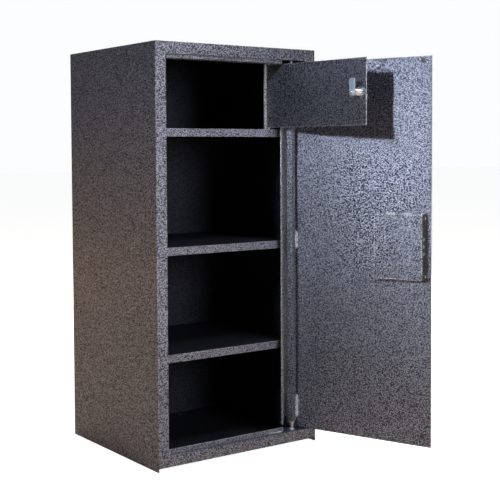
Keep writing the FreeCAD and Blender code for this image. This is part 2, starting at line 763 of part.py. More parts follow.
def make_bow_and_ring():
    half_bow = size("bow_sheet") / 2
    half_blade = size("blade_sheet") / 2
    half_height = size("blade_height") / 2
    hole = size("bow_hole_radius")
    bow = without(
        rod((lock_across - half_bow, bow_deep, lock_up), "X", size("bow_radius"), half_bow * 2),
        rod((lock_across - half_bow, bow_deep, lock_up), "X", hole, half_bow * 2),
        box((lock_across - half_blade, blade_start, lock_up - half_height),
            (lock_across + half_blade, leaf_front, lock_up + half_height)),
    )
    keep(bow, "treasury_key_bow", TREASURY_DOOR)
    wire = size("ring_wire_radius")
    ring_up = lock_up - hole + wire + size("ring_gap") - size("ring_radius")
    ring = document.addObject("Part::Torus", "ring")
    bind(ring, "Radius1", size("ring_radius"))
    bind(ring, "Radius2", wire)
    ring.Placement = FreeCAD.Placement(vector(lock_across, bow_deep, ring_up), TURN_TO["Y"])
    keep(ring, "key_ring", TREASURY_DOOR)


# --- build, check and write ------------------------------------------------------------------

def check_and_write():
    document.recompute()
    for feature in document.Objects:
        if "Invalid" in feature.State or "Error" in feature.State:
            raise RuntimeError(f"{feature.Name} failed: {feature.State}")
    os.makedirs("parts", exist_ok=True)
    for label, feature in pieces.items():
        if feature.Shape.isNull() or not feature.Shape.isValid() or feature.Shape.Volume <= 0:
            raise RuntimeError(f"{label} has no valid shape")
        feature.Shape.exportStep(os.path.join("parts", f"{label}.step"))
        print(f"{label}: {len(feature.Shape.Solids)} solid, {feature.Shape.Volume / 1000:.2f} cm3")


make_shell()
make_front_frame()
make_door_stops()
make_main_pivots()
make_shelf("upper_shelf", size("upper_shelf_top"))
make_shelf("lower_shelf", size("lower_shelf_top"))
make_treasury()
for shelf, top in (
    ("upper_shelf", size("upper_shelf_top")), ("lower_shelf", size("lower_shelf_top")),
    ("treasury_floor", treasury_floor),
):
    make_cleats(shelf, top - shelf_sheet)
make_door_leaf()
make_door_hinge_side()
make_lock_housing()
make_lock_case()
make_bolt_works()
make_levers()
make_escutcheon_and_key()
make_treasury_leaf()
make_cam_lock()
make_cam_and_plug()
make_bow_and_ring()
check_and_write()
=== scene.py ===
"""Looks of the document safe: materials, detailed small pieces, weld beads, studio light and camera."""

import json
import math

import bmesh
import bpy
from mathutils import Matrix, Vector, noise


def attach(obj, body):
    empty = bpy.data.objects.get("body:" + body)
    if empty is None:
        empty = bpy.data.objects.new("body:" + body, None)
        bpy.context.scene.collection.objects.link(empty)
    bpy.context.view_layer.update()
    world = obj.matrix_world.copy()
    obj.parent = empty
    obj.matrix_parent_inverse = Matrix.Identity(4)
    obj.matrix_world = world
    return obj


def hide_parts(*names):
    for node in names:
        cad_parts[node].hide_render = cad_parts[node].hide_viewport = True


MM = 0.001
SOFTENED_ANGLE = math.radians(40)
CRISP_ANGLE = math.radians(35)

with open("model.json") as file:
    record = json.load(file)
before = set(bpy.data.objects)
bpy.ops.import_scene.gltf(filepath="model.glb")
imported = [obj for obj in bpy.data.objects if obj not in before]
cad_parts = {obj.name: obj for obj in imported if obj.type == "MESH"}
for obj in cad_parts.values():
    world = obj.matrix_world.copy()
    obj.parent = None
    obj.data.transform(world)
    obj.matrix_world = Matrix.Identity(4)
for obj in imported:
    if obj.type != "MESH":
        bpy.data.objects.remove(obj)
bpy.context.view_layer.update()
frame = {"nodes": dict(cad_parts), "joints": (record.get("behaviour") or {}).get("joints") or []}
nodes = frame["nodes"]


# --- places: the doors are described shut, and swung to their rest pose ---------------------------

def swung(joint_name):
    """Matrix from a door's shut place to its rest place, both in the row frame."""
    joint = next(joint for joint in frame["joints"] if joint["name"] == joint_name)
    pivot = Matrix.Translation(Vector(joint["pos_m"]))
    turn = Matrix.Rotation(math.radians(-joint["range_deg"][0]), 4, "Z")
    return pivot @ turn @ pivot.inverted()


CABINET = Matrix.Identity(4)
MAIN_DOOR = swung("main_door_swing")
TREASURY_DOOR = swung("treasury_door_swing")


def extent(node, place=CABINET):
    """Lowest and highest corner of a CAD node with its door shut."""
    back = place.inverted()
    points = [back @ vertex.co for vertex in nodes[node].data.vertices]
    low = Vector([min(point[axis] for point in points) for axis in range(3)])
    high = Vector([max(point[axis] for point in points) for axis in range(3)])
    return low, high


def middle(node, place):
    """Middle of a CAD node's extent with its door shut."""
    low, high = extent(node, place)
    return (low + high) / 2


# --- node-based materials -------------------------------------------------------------------------

class Shader:
    """A material under construction: one Principled shader and the nodes that feed it."""

    def __init__(self, name, **values):
        self.material = bpy.data.materials.new(name)
        self.material.use_nodes = True
        self.tree = self.material.node_tree
        self.main = self.tree.nodes["Principled BSDF"]
        for socket, value in values.items():
            self.main.inputs[socket.replace("_", " ")].default_value = value
        self.place = self.node("ShaderNodeTexCoord").outputs["Object"]

    def node(self, kind, settings=None, **inputs):
        """Add a node; inputs name its sockets, with _ for a space."""
        made = self.tree.nodes.new(kind)
        for name, value in (settings or {}).items():
            setattr(made, name, value)
        for socket, value in inputs.items():
            self.feed(made.inputs[socket.replace("_", " ")], value)
        return made

    def feed(self, socket, value):
        """Link a socket, or set it where the value is a plain number or colour."""
        if isinstance(value, bpy.types.NodeSocket):
            self.tree.links.new(value, socket)
        else:
            socket.default_value = value

    def math(self, operation, first, second=0.0):
        made = self.node("ShaderNodeMath", {"operation": operation})
        self.feed(made.inputs[0], first)
        self.feed(made.inputs[1], second)
        return made.outputs[0]

    def noise(self, scale, detail, place=None):
        made = self.node("ShaderNodeTexNoise", Vector=place or self.place, Scale=scale, Detail=detail)
        return made.outputs["Fac"]

    def stretched(self, factors):
        """The object's coordinates, multiplied axis by axis."""
        made = self.node("ShaderNodeVectorMath", {"operation": "MULTIPLY"})
        self.feed(made.inputs[0], self.place)
        made.inputs[1].default_value = factors
        return made.outputs[0]

    def ramp(self, value, stops):
        """Colour ramp through (position, colour) stops."""
        made = self.node("ShaderNodeValToRGB", Fac=value)
        steps = made.color_ramp.elements
        while len(steps) < len(stops):
            steps.new(0.5)
        for step, (position, shade) in zip(steps, stops):
            step.position = position
            step.color = shade if len(shade) == 4 else (*shade, 1.0)
        return made.outputs["Color"]

    def grey(self, value, low, high, at_low=0.0, at_high=1.0):
        """Number that runs from low to high while the value runs from at_low to at_high."""
        made = self.node("ShaderNodeMapRange", Value=value, From_Min=at_low, From_Max=at_high,
                         To_Min=low, To_Max=high)
        return made.outputs["Result"]

    def mix(self, factor, first, second):
        """Blend of two colours; 6, 7 and 2 are the node's colour sockets."""
        made = self.node("ShaderNodeMix", {"data_type": "RGBA"})
        self.feed(made.inputs["Factor"], factor)
        self.feed(made.inputs[6], first)
        self.feed(made.inputs[7], second)
        return made.outputs[2]

    def bump(self, height, strength, distance, under=None):
        made = self.node("ShaderNodeBump", Height=height, Strength=strength, Distance=distance)
        if under:
            self.tree.links.new(under, made.inputs["Normal"])
        return made.outputs["Normal"]

    def set(self, socket, value):
        self.feed(self.main.inputs[socket], value)


def tinted(shade, factor):
    """A colour made lighter or darker, with its alpha."""
    return tuple(min(1.0, channel * factor) for channel in shade[:3]) + (1.0,)


DOMES_PER_METRE = 470.0
DOME_WANDER = 1.2 * MM
# Near-black blue for painted shade on the faces inside the compartments.
PAINTED_SHADE_INSIDE = (0.002, 0.004, 0.012, 1.0)


def hammertone(name, shade, painted_shade_inside=False, metal=0.95):
    """Hammer-finish enamel: glossy bright domes about two millimetres wide in a dark net."""
    coat = 0.15
    paint = Shader(name, Metallic=metal, Coat_Weight=coat, Coat_Roughness=0.2)
    wander = paint.node("ShaderNodeTexNoise", Vector=paint.place, Scale=90.0, Detail=2.0)
    offset = paint.node("ShaderNodeVectorMath", {"operation": "MULTIPLY_ADD"})
    paint.feed(offset.inputs[0], wander.outputs["Color"])
    offset.inputs[1].default_value = (DOME_WANDER, DOME_WANDER, DOME_WANDER)
    paint.feed(offset.inputs[2], paint.place)
    domes = paint.node("ShaderNodeTexVoronoi", {"feature": "SMOOTH_F1"}, Vector=offset.outputs[0],
                       Scale=DOMES_PER_METRE, Smoothness=0.3).outputs["Distance"]
    fine = paint.noise(1400.0, 1.0)
    patches = paint.noise(9.0, 3.0)
    mottle = paint.ramp(domes, [
        (0.3, tinted(shade, 2.4)), (0.46, tinted(shade, 0.72)), (0.58, tinted(shade, 0.03)),
    ])
    dull = paint.grey(patches, 0.0, 0.15, at_low=0.35, at_high=0.7)
    patchy = paint.mix(dull, mottle, tinted(shade, 0.62))
    glint = paint.grey(fine, 0.0, 0.3, at_low=0.35, at_high=0.8)
    colour = paint.mix(glint, patchy, tinted(shade, 1.7))
    roughness = paint.grey(domes, 0.31, 0.45, at_low=0.15, at_high=0.65)
    # Painted shade: faces inside the compartments are mixed nine tenths of the way to near-black blue,
    # with rougher, less metallic, uncoated paint.
    if painted_shade_inside:
        inside = painted_shade_mask(paint)
        colour = paint.mix(inside, colour, paint.mix(0.9, colour, PAINTED_SHADE_INSIDE))
        roughness = paint.math("MAXIMUM", roughness, paint.math("MULTIPLY", inside, 0.55))
        paint.set("Metallic", paint.grey(inside, metal, 0.6))
        paint.set("Coat Weight", paint.grey(inside, coat, 0.0))
    paint.set("Base Color", colour)
    paint.set("Roughness", roughness)
    waves = paint.bump(paint.noise(5.0, 1.0), strength=0.35, distance=6 * MM)
    height = paint.math("SUBTRACT", 1.0, domes)
    lumps = paint.bump(height, strength=0.5, distance=1.2 * MM, under=waves)
    paint.set("Normal", paint.bump(fine, strength=0.12, distance=0.2 * MM, under=lumps))
    return paint.material


def painted_shade_mask(paint):
    """1 on the faces that look into the compartments, where the painted shade goes, 0 on the skin and
    the shelf lips.
    """
    skin_low, skin_high = extent("body_wrap")
    lip_front = extent("upper_shelf")[0].y
    floor_top = extent("floor_panel")[1].z
    ceiling = extent("top_panel")[0].z
    low = Vector((skin_low.x + 1.4 * MM, lip_front + 0.9 * MM, floor_top - 0.3 * MM))
    high = Vector((skin_high.x - 1.4 * MM, skin_high.y - 0.6 * MM, ceiling + 0.4 * MM))
    axes = paint.node("ShaderNodeSeparateXYZ", Vector=paint.place).outputs
    mask = 1.0
    for axis in range(3):
        mask = paint.math("MULTIPLY", mask, paint.math("GREATER_THAN", axes[axis], low[axis]))
        mask = paint.math("MULTIPLY", mask, paint.math("LESS_THAN", axes[axis], high[axis]))
    return mask


def bare_steel(name, shade, roughness, grain=(60.0, 60.0, 900.0), metal=1.0):
    """Turned or drawn steel with fine lines along one direction and dull stains."""
    steel = Shader(name, Metallic=metal)
    lines = steel.noise(1.0, 3.0, steel.stretched(grain))
    stains = steel.noise(120.0, 3.0)
    stained = steel.grey(stains, 0.0, 0.6, at_low=0.4, at_high=0.75)
    steel.set("Base Color", steel.mix(stained, (*shade, 1.0), tinted(shade, 0.6)))
    streaks = steel.grey(lines, roughness * 0.7, roughness * 1.35, at_low=0.3, at_high=0.7)
    steel.set("Roughness", streaks)
    pits = steel.bump(stains, strength=0.08, distance=0.3 * MM)
    steel.set("Normal", steel.bump(lines, strength=0.15, distance=0.2 * MM, under=pits))
    return steel.material


def moulded(name, shade, roughness, grain, depth):
    """Rubber or plastic with a fine moulded grain."""
    stuff = Shader(name)
    pores = stuff.noise(grain, 3.0)
    dust = stuff.noise(grain * 0.05, 3.0)
    dusty = stuff.grey(dust, 0.0, 0.5, at_low=0.4, at_high=0.7)
    stuff.set("Base Color", stuff.mix(dusty, (*shade, 1.0), tinted(shade, 1.8)))
    porous = stuff.grey(pores, roughness * 0.85, roughness * 1.15, at_low=0.3, at_high=0.7)
    stuff.set("Roughness", porous)
    stuff.set("Normal", stuff.bump(pores, strength=0.35, distance=depth))
    return stuff.material


def weld_metal(name):
    """Weld metal under the enamel: ripples whose crests are painted light, a painted highlight, and
    whose troughs are painted dark, a painted shade.
    """
    bead = Shader(name, Metallic=0.5)
    crests = bead.noise(500.0, 3.0)
    # Painted highlight and shade: colour runs from dark in the troughs to near-white on the raised
    # crests.
    bead.set("Base Color", bead.ramp(crests, [(0.35, (0.16, 0.17, 0.2)), (0.55, (0.82, 0.84, 0.9))]))
    bead.set("Roughness", bead.grey(crests, 0.22, 0.42, at_low=0.3, at_high=0.7))
    bead.set("Normal", bead.bump(crests, strength=0.5, distance=0.6 * MM))
    return bead.material


HAMMER = (0.288, 0.304, 0.388)
# Painted light: a lighter copy of the grey enamel for the hinge-bar packers, the treasury hinge post and
# the hinge-side flange.
PAINTED_LIGHT_HAMMER = (0.62, 0.65, 0.76)
# Painted light: a somewhat lighter copy of the grey enamel for the hinge bar.
BAR_PAINTED_LIGHT_HAMMER = (0.34, 0.365, 0.48)
# Painted highlight: a much lighter, less metallic enamel for softened edges.
EDGE_HIGHLIGHT_HAMMER = (0.80, 0.83, 0.92)
enamel = hammertone("hammertone_grey", HAMMER)
# Carcass enamel with painted shade on the faces inside the compartments.
shell_enamel = hammertone("hammertone_grey_painted_shade_inside", HAMMER, painted_shade_inside=True)
painted_light_enamel = hammertone("hammertone_grey_painted_light", PAINTED_LIGHT_HAMMER, metal=0.5)
bar_painted_light_enamel = hammertone("hammertone_grey_bar_painted_light", BAR_PAINTED_LIGHT_HAMMER, metal=0.9)
edge_highlight_enamel = hammertone("hammertone_grey_edge_highlight", EDGE_HIGHLIGHT_HAMMER, metal=0.3)
dark_enamel = hammertone("dark_enamel", (0.15, 0.15, 0.165))
# Light yellowish zinc: the zinc's own tone, made lighter as a painted highlight on the bolt ends and
# forend screws.
zinc = bare_steel("zinc_steel_painted_highlight", (0.85, 0.82, 0.72), 0.34, metal=0.45)
# Painted reflection: the cam's light blue tint stands in for a bright bluish object it mirrors.
zinc_with_painted_reflection = bare_steel("zinc_painted_blue_reflection", (0.50, 0.64, 0.82), 0.36, metal=0.4)
drawn_steel = bare_steel("drawn_steel", (0.50, 0.50, 0.50), 0.34)
chrome = bare_steel("chrome_plate", (0.80, 0.82, 0.86), 0.2, (200.0, 200.0, 200.0), metal=0.8)
brass = bare_steel("sheet_brass", (0.72, 0.52, 0.22), 0.3)
rubber = moulded("black_rubber", (0.06, 0.06, 0.065), 0.75, 900.0, 0.3 * MM)
plastic = moulded("black_plastic", (0.015, 0.015, 0.016), 0.42, 1500.0, 0.1 * MM)
weld = weld_metal("weld_metal")


# --- CAD nodes keep their shape and get paint and softened edges ----------------------------------

def dress(names, material, edge=0.5 * MM, edge_highlight_material=None):
    """Paint CAD nodes and soften their edges; the softened strip may get a second, lighter paint, a
    painted highlight along the edges.
    """
    for name in names:
        node = nodes[name]
        node.data.materials.clear()
        node.data.materials.append(material)
        if edge_highlight_material:
            node.data.materials.append(edge_highlight_material)
        if edge:
            merge = node.modifiers.new("merge", "WELD")
            merge.merge_threshold = 0.01 * MM
            soften = node.modifiers.new("soften", "BEVEL")
            soften.width = edge
            soften.segments = 2
            soften.limit_method = "ANGLE"
            soften.angle_limit = SOFTENED_ANGLE
            # The softened strip takes the second paint, the painted edge highlight, where there is one.
            soften.material = 1 if edge_highlight_material else -1


# Carcass and treasury pieces: this enamel paints shade on their faces inside the compartments.
dress(["body_wrap", "floor_panel"], shell_enamel)
# Softened edges of these, and of the stops, hinge bar, treasury door and lock housing below, get the
# painted edge highlight.
dress(["upper_shelf", "lower_shelf", "treasury_floor"], shell_enamel, 0.5 * MM, edge_highlight_enamel)
dress(["top_panel"], shell_enamel, 0)
dress([name for name in nodes if "_cleat_" in name], shell_enamel, 0)
dress(["treasury_strike", "treasury_closing_plate", "treasury_top_rail"], shell_enamel)
dress(["left_stile", "right_stile", "header", "sill", "left_stop", "main_door_leaf"], enamel)
dress(["header_stop", "sill_stop"], enamel, 0.6 * MM, edge_highlight_enamel)
# Hinge bar: painted light from the lighter enamel.
dress(["hinge_bar"], bar_painted_light_enamel, 0.6 * MM, edge_highlight_enamel)
dress(["treasury_door_leaf"], enamel, 0.9 * MM, edge_highlight_enamel)
# Painted light: these pieces get the lighter copy of the enamel.
dress(["hinge_bar_packer_low", "hinge_bar_packer_middle", "hinge_bar_packer_high",
       "treasury_hinge_post", "hinge_side_flange"], painted_light_enamel)
dress(["lock_housing"], enamel, 1.5 * MM, edge_highlight_enamel)
dress(["lock_forend"], dark_enamel)
dress(["lower_pivot_pin", "upper_pivot_pin", "lower_thrust_bush", "lock_case_plate", "lever_stump",
       "carriage_guide_studs", "keyhole_escutcheon", "bolt_carriage", "treasury_door_pins"], drawn_steel)
dress(["lever_pack"], brass, 0.15 * MM)


# --- mesh builders, all in the row frame with the doors shut --------------------------------------

def shade_smoothly(data):
    """Smooth shading that stays crisp at corners."""
    data.shade_smooth()
    data.set_sharp_from_angle(angle=CRISP_ANGLE)


def placed(name, mesh, place, body, material, replaced=()):
    """Turn a bmesh into a finished piece on its body."""
    mesh.transform(place)
    data = bpy.data.meshes.new(name)
    bmesh.ops.recalc_face_normals(mesh, faces=mesh.faces)
    mesh.to_mesh(data)
    mesh.free()
    shade_smoothly(data)
    piece = bpy.data.objects.new(name, data)
    bpy.context.scene.collection.objects.link(piece)
    data.materials.append(material)
    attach(piece, body)
    if replaced:
        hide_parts(*replaced)
    return piece


def basis(axis):
    """Rotation that takes local Z to the named axis."""
    return {
        "X": Matrix.Rotation(math.pi / 2, 4, "Y"),
        "Y": Matrix.Rotation(-math.pi / 2, 4, "X"),
        "-Y": Matrix.Rotation(math.pi / 2, 4, "X"),
    }[axis]


def circle(radius, count):
    """Points evenly spaced on a circle about the origin."""
    angles = [2 * math.pi * step / count for step in range(count)]
    return [(radius * math.cos(angle), radius * math.sin(angle)) for angle in angles]


def skin(mesh, rings, capped=True):
    """Faces between neighbouring rings of equal size, and over the first and last ring."""
    for near, far in zip(rings, rings[1:]):
        for step in range(len(near)):
            following = (step + 1) % len(near)
            mesh.faces.new([near[step], near[following], far[following], far[step]])
    if capped:
        mesh.faces.new(list(reversed(rings[0])))
        mesh.faces.new(rings[-1])


def turned(mesh, start, axis, profile, segments=40):
    """Revolve (radius, distance) points in millimetres about an axis through start."""
    place = Matrix.Translation(start) @ basis(axis)
    rings = []
    for radius, along in profile:
        points = circle(radius, segments) if radius else [(0, 0)]
        rings.append([mesh.verts.new(place @ (Vector((x, y, along)) * MM)) for x, y in points])
    for near, far in zip(rings, rings[1:]):
        for step in range(segments):
            following = (step + 1) % segments
            corners = [near[step % len(near)], near[following % len(near)],
                       far[following % len(far)], far[step % len(far)]]
            distinct = list(dict.fromkeys(corners))
            if len(distinct) > 2:
                mesh.faces.new(distinct)


def plate(mesh, outline, start, axis, thickness, bevel=0.0):
    """Plate of the given (across, up) outline in millimetres, grown along an axis from start."""
    place = Matrix.Translation(start) @ basis(axis)
    levels = [(0.0, 0.0), (thickness, 0.0)]
    if bevel:
        levels = [(0.0, bevel), (bevel, 0.0), (thickness - bevel, 0.0), (thickness, bevel)]
    centre = Vector((sum(x for x, y in outline), sum(y for x, y in outline))) / len(outline)
    rings = []
    for height, inset in levels:
        ring = []
        for corner in outline:
            away = Vector(corner) - centre
            drawn = away * (1 - inset / max(away.length, 0.001))
            point = Vector((*(centre + drawn), height)) * MM
            ring.append(mesh.verts.new(place @ point))
        rings.append(ring)
    skin(mesh, rings)


def block(low, high, place):
    """Box between two corners in the row frame, as a bmesh."""
    mesh = bmesh.new()
    bmesh.ops.create_cube(mesh, size=1.0)
    for vertex in mesh.verts:
        share = vertex.co + Vector((0.5, 0.5, 0.5))
        vertex.co = Vector([low[axis] + (high[axis] - low[axis]) * share[axis] for axis in range(3)])
    mesh.transform(place)
    return mesh


def carve(piece, *cutters):
    """Cut temporary meshes out of a piece and leave plain geometry behind."""
    for cutter in cutters:
        data = bpy.data.meshes.new("cutter")
        bmesh.ops.recalc_face_normals(cutter, faces=cutter.faces)
        cutter.to_mesh(data)
        cutter.free()
        tool = bpy.data.objects.new("cutter", data)
        bpy.context.scene.collection.objects.link(tool)
        cut = piece.modifiers.new("cut", "BOOLEAN")
        cut.object = tool
        cut.operation = "DIFFERENCE"
        cut.solver = "EXACT"
        bpy.context.view_layer.update()
        result = bpy.data.meshes.new_from_object(
            piece.evaluated_get(bpy.context.evaluated_depsgraph_get()))
        piece.modifiers.remove(cut)
        piece.data = result
        bpy.data.objects.remove(tool)
    shade_smoothly(piece.data)


# --- main door: bolts, screws, pads, rivets and key; radii and profiles in millimetres --------------

def make_bolts():
    for level in ("lower", "middle", "upper"):
        name = f"lock_bolt_{level}"
        low, high = extent(name, MAIN_DOOR)
        centre = (low + high) / 2
        radius = (high.z - low.z) / 2 / MM
        length = (high.x - low.x) / MM
        profile = [
            (0, 0), (radius - 1.6, 0), (radius - 0.9, 0.25), (radius, 1.3), (radius, length - 0.4),
            (radius - 0.4, length), (0, length),
        ]
        mesh = bmesh.new()
        turned(mesh, Vector((low.x, centre.y, centre.z)), "X", profile)
        placed(f"turned_{name}", mesh, MAIN_DOOR, "bolt_works", zinc, [name])


def make_forend_screws():
    """Two countersunk screws with a straight slot."""
    low, high = extent("forend_screws", MAIN_DOOR)
    head = 3.5
    half_slot = 0.45 * MM
    slot_depth = 0.9 * MM
    deep = (low.y + high.y) / 2
    levels = (low.z + head * MM, high.z - head * MM)
    profile = [(0, 0.0), (2.2, 0.05), (3.1, 0.22), (head, 0.4), (2.0, 2.2), (2.0, 12.0), (0, 12.4)]
    mesh = bmesh.new()
    for level in levels:
        turned(mesh, Vector((low.x, deep, level)), "X", profile)
    screws = placed("slotted_forend_screws", mesh, MAIN_DOOR, "main_door", zinc,
                    ["forend_screws"])
    slots = [
        block((low.x - 1 * MM, deep - half_slot, level - 4 * MM),
              (low.x + slot_depth, deep + half_slot, level + 4 * MM), MAIN_DOOR)
        for level in levels
    ]
    carve(screws, *slots)


def make_pads():
    """Two round rubber pads with a shallow dish."""
    low, high = extent("stop_pads", MAIN_DOOR)
    radius = 5.5
    thickness = (high.y - low.y) / MM
    profile = [
        (radius, 0), (radius, 1.2), (radius - 0.35, thickness - 0.6), (radius - 1.1, thickness),
        (2.2, thickness), (1.7, thickness - 0.8), (0, thickness - 0.8),
    ]
    mesh = bmesh.new()
    for level in (low.z + radius * MM, high.z - radius * MM):
        turned(mesh, Vector(((low.x + high.x) / 2, low.y, level)), "Y", profile)
    placed("round_rubber_pads", mesh, MAIN_DOOR, "main_door", rubber, ["stop_pads"])


def make_rivets():
    low, high = extent("escutcheon_rivets", MAIN_DOOR)
    radius = 1.5
    dome = [(radius, 0), (1.45, 0.2), (1.1, 0.45), (0.6, 0.58), (0, 0.6)]
    mesh = bmesh.new()
    for level in (low.z + radius * MM, high.z - radius * MM):
        turned(mesh, Vector(((low.x + high.x) / 2, high.y, level)), "-Y", dome)
    placed("domed_escutcheon_rivets", mesh, MAIN_DOOR, "main_door", drawn_steel,
           ["escutcheon_rivets"])


def make_main_key():
    """Lever key: turned shaft with a collar, pierced bow and a stepped bit on each side."""
    low, high = extent("main_key", MAIN_DOOR)
    centre = (low + high) / 2
    bow = 15.0
    bow_centre = Vector((centre.x, low.y + bow * MM, centre.z))
    shaft_start = bow_centre + Vector((0, 12 * MM, 0))
    length = (high.y - shaft_start.y) / MM
    shaft = [
        (0, 0), (2.6, 0), (3.5, 1.2), (3.5, 9), (2.9, 9.8), (2.9, 12), (3.5, 12.8), (3.5, 26),
        (5, 26.4), (5, 29.6), (3.5, 30), (3.5, length - 1.0), (2.6, length), (0, length),
    ]
    bit_thickness = 2.5
    bit_corner = Vector((centre.x - bit_thickness / 2 * MM, high.y - 10.5 * MM, centre.z))
    steps = [
        (0, 3.2), (8.0, 3.2), (8.0, 13.0), (6.7, 13.0), (6.7, 9.6), (5.2, 9.6), (5.2, 12.0),
        (3.8, 12.0), (3.8, 8.4), (2.4, 8.4), (2.4, 11.2), (1.2, 11.2), (1.2, 13.0), (0, 13.0),
    ]
    rim = [(bow, 0.55), (bow - 0.5, 1.1), (bow - 1.4, 1.25), (7.4, 1.25), (6.4, 1.1), (6, 0.5)]
    under = [(radius, -along) for radius, along in rim]
    mesh = bmesh.new()
    turned(mesh, shaft_start, "Y", shaft)
    for side in (1, -1):
        plate(mesh, [(-rise * side, deep) for deep, rise in steps], bit_corner, "X", bit_thickness)
    turned(mesh, bow_centre, "X", under + rim[::-1] + under[:1], 64)
    placed("cut_main_key", mesh, MAIN_DOOR, "door_key", chrome, ["main_key"])


# --- treasury door: cam lock, key and split ring ---------------------------------------------------

def make_barrel():
    """Flanged barrel with grooves for a thread."""
    low, high = extent("cam_lock_barrel", TREASURY_DOOR)
    length = (high.y - low.y) / MM
    flange = 10.0
    radius = 8.0
    bore = 5.55
    profile = [
        (bore, 0.0), (8.6, 0.0), (flange - 0.3, 0.7), (flange, 1.3), (flange, 2.0), (radius, 2.0),
    ]
    along = 2.6
    while along < length - 1.2:
        profile += [(radius, along), (radius - 0.35, along + 0.5)]
        along += 1.0
    profile += [(radius, length - 0.6), (radius - 0.5, length), (bore, length), (bore, 0.0)]
    mesh = bmesh.new()
    turned(mesh, Vector(((low.x + high.x) / 2, low.y, (low.z + high.z) / 2)), "Y", profile, 56)
    placed("threaded_cam_lock_barrel", mesh, TREASURY_DOOR, "treasury_door", chrome,
           ["cam_lock_barrel"])


def hexagon_reach(corner, angle):
    """Distance from a hexagon's middle to its edge, in the direction of an angle."""
    from_flat = (angle + math.pi / 6) % (math.pi / 3) - math.pi / 6
    return corner * math.cos(math.pi / 6) / math.cos(from_flat)


def make_nut():
    """Hexagon nut whose corners are turned down at both faces."""
    low, high = extent("cam_lock_nut", TREASURY_DOOR)
    barrel = middle("cam_lock_barrel", TREASURY_DOOR)
    place = Matrix.Translation(Vector((barrel.x, low.y, barrel.z))) @ basis("Y")
    height = (high.y - low.y) / MM
    corner = 12.7
    turned_down = corner - 1.1
    bore = 8.1
    sides = 48
    levels = [(0.0, turned_down), (0.7, corner), (height - 0.7, corner), (height, turned_down)]
    mesh = bmesh.new()
    rings = []
    for along, limit in levels:
        ring = []
        for step in range(sides):
            angle = 2 * math.pi * step / sides
            reach = min(hexagon_reach(corner, angle), limit)
            point = Vector((math.cos(angle) * reach, math.sin(angle) * reach, along)) * MM
            ring.append(mesh.verts.new(place @ point))
        rings.append(ring)
    for along in (height, 0.0):
        points = [Vector((x, y, along)) * MM for x, y in circle(bore, sides)]
        rings.append([mesh.verts.new(place @ point) for point in points])
    skin(mesh, rings + rings[:1], capped=False)
    placed("chamfered_cam_lock_nut", mesh, TREASURY_DOOR, "treasury_door", chrome,
           ["cam_lock_nut"])


def make_plug():
    """Plug with a slot that the key's blade lies in."""
    low, high = extent("cam_lock_plug", TREASURY_DOOR)
    centre = (low + high) / 2
    length = (high.y - low.y) / MM
    profile = [(0, 0), (4.9, 0), (5.5, 0.5), (5.5, length - 0.4), (5.1, length), (0, length)]
    mesh = bmesh.new()
    turned(mesh, Vector((centre.x, low.y, centre.z)), "Y", profile)
    plug = placed("slotted_cam_lock_plug", mesh, TREASURY_DOOR, "cam_lock", chrome,
                  ["cam_lock_plug"])
    blade_low, blade_high = extent("treasury_key_blade", TREASURY_DOOR)
    gap = 0.15 * MM
    slot_low = (blade_low.x - gap, low.y - 1 * MM, blade_low.z - gap)
    slot_high = (blade_high.x + gap, blade_high.y + gap, blade_high.z + gap)
    carve(plug, block(slot_low, slot_high, TREASURY_DOOR))


def make_cam():
    """Pressed cam: round at the plug, with a clipped tip."""
    low, high = extent("locking_cam", TREASURY_DOOR)
    plug = middle("cam_lock_plug", TREASURY_DOOR)
    thickness = (high.y - low.y) / MM
    half = (high.x - low.x) / 2 / MM
    tip = (high.z - plug.z) / MM
    tail = (low.z - plug.z) / MM
    angles = [math.pi + math.pi * step / 16 for step in range(17)]
    outline = [
        (half * math.cos(angle), max(tail + half + half * math.sin(angle), tail)) for angle in angles
    ]
    outline += [
        (half, tip - 3), (half - 0.9, tip - 0.9), (half - 3, tip),
        (-half + 3, tip), (-half + 0.9, tip - 0.9), (-half, tip - 3),
    ]
    mesh = bmesh.new()
    plate(mesh, [(x, -y) for x, y in outline], Vector((plug.x, low.y, plug.z)), "Y", thickness, 0.25)
    # The cam's zinc carries a painted blue reflection.
    placed("pressed_locking_cam", mesh, TREASURY_DOOR, "cam_lock", zinc_with_painted_reflection, ["locking_cam"])


def make_cam_screw():
    """Domed screw with a cross recess."""
    back = extent("cam_screw", TREASURY_DOOR)[1].y
    cam_back = extent("locking_cam", TREASURY_DOOR)[1].y
    plug = middle("cam_lock_plug", TREASURY_DOOR)
    head = (back - cam_back) / MM
    profile = [
        (0, 0), (2.4, 0.05), (3.6, 0.5), (4.3, 1.3), (4.5, head), (2.0, head), (2.0, head + 7.5),
        (0, head + 8),
    ]
    mesh = bmesh.new()
    turned(mesh, Vector((plug.x, back, plug.z)), "-Y", profile)
    screw = placed("cross_cam_screw", mesh, TREASURY_DOOR, "cam_lock", chrome, ["cam_screw"])
    recess_front = back - 1.3 * MM
    recess_back = back + 1 * MM
    crosses = [
        block((plug.x - wide * MM, recess_front, plug.z - tall * MM),
              (plug.x + wide * MM, recess_back, plug.z + tall * MM), TREASURY_DOOR)
        for wide, tall in ((2.3, 0.5), (0.5, 2.3))
    ]
    carve(screw, *crosses)


